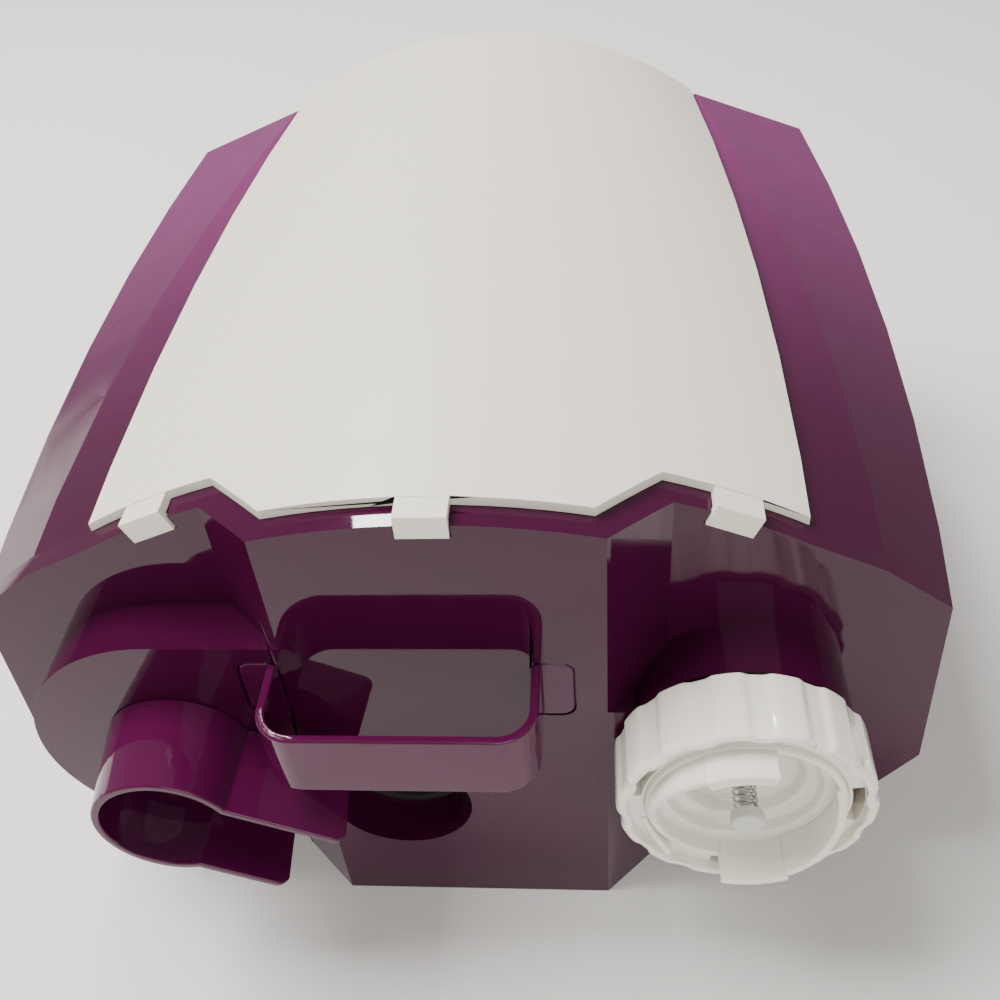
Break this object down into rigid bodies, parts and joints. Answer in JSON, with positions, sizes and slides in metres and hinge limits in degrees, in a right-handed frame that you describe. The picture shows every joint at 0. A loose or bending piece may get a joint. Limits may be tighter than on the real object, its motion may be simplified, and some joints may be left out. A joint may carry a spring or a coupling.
{
  "type": "carpet cleaner tank",
  "caption": "Removable tank of a carpet cleaner: purple moulded vessel with an arched white cover, side inlet spout, suction port, locating loop and a fluted valve cap with a sprung plunger.",
  "frame": {"origin": "bottom centre of the whole tank as it lies on its keel", "axes": "+Y from the port face to the far end (upwards when fitted in the machine), +Z from the keel to the arched cover, +X across, towards the valve cap"},
  "size_m": [0.261, 0.2824, 0.1752],
  "materials": {
    "tank_purple": "glossy translucent",
    "cover_white": "satin",
    "cap_white": "gloss",
    "plunger_grey": "satin",
    "float_white": "satin",
    "clear_flap": "clear",
    "seal_rubber": "matt",
    "steel": "bright"
  },
  "bodies": {
    "tank": {"port_plate": "tank_purple", "tank_shell": "tank_purple", "front_cover": "cover_white", "locating_loop": "tank_purple", "inlet_duct": "tank_purple", "flap_seat": "tank_purple", "flap_pin": "steel", "inlet_riser": "tank_purple", "riser_hood": "tank_purple", "outlet_gasket": "seal_rubber", "air_stack": "tank_purple", "stack_head": "tank_purple", "float_cage": "tank_purple", "chamber_divider": "tank_purple"},
    "duct_flap": {"inlet_flap": "clear_flap"},
    "shutoff_float": {"shutoff_float": "float_white"},
    "cap_ring": {"cap_gasket": "seal_rubber"},
    "cap": {"valve_cap": "cap_white", "valve_insert": "cap_white", "umbrella_valve": "seal_rubber", "valve_spring": "steel"},
    "plunger": {"valve_plunger": "plunger_grey", "plunger_seal": "seal_rubber", "plunger_clip": "plunger_grey"}
  },
  "joints": [
    {"name": "cap_lift", "type": "slide", "parent": "tank", "child": "cap_ring", "axis": [0, -1, 0], "range_m": [0, 0.009]},
    {"name": "cap_turn", "type": "hinge", "parent": "cap_ring", "child": "cap", "pos_m": [0.0745, -0.12725, 0.0784], "axis": [0, -1, 0], "range_deg": [0, 540]},
    {"name": "plunger_press", "type": "slide", "parent": "cap", "child": "plunger", "axis": [0, 1, 0], "range_m": [0, 0.005], "stiffness_N_per_m": 500, "springref_m": -0.002, "deforming": ["valve_spring"]},
    {"name": "flap_swing", "type": "hinge", "parent": "tank", "child": "duct_flap", "pos_m": [-0.07429, -0.11995, 0.09043], "axis": [1, 0, 0], "range_deg": [0, 55]},
    {"name": "float_rise", "type": "slide", "parent": "tank", "child": "shutoff_float", "axis": [0, 1, 0], "range_m": [0, 0.0135]}
  ],
  "couplings": [
    {"joint": "cap_lift", "follows": "cap_turn", "m_per_rad": 0.00095493}
  ]
}
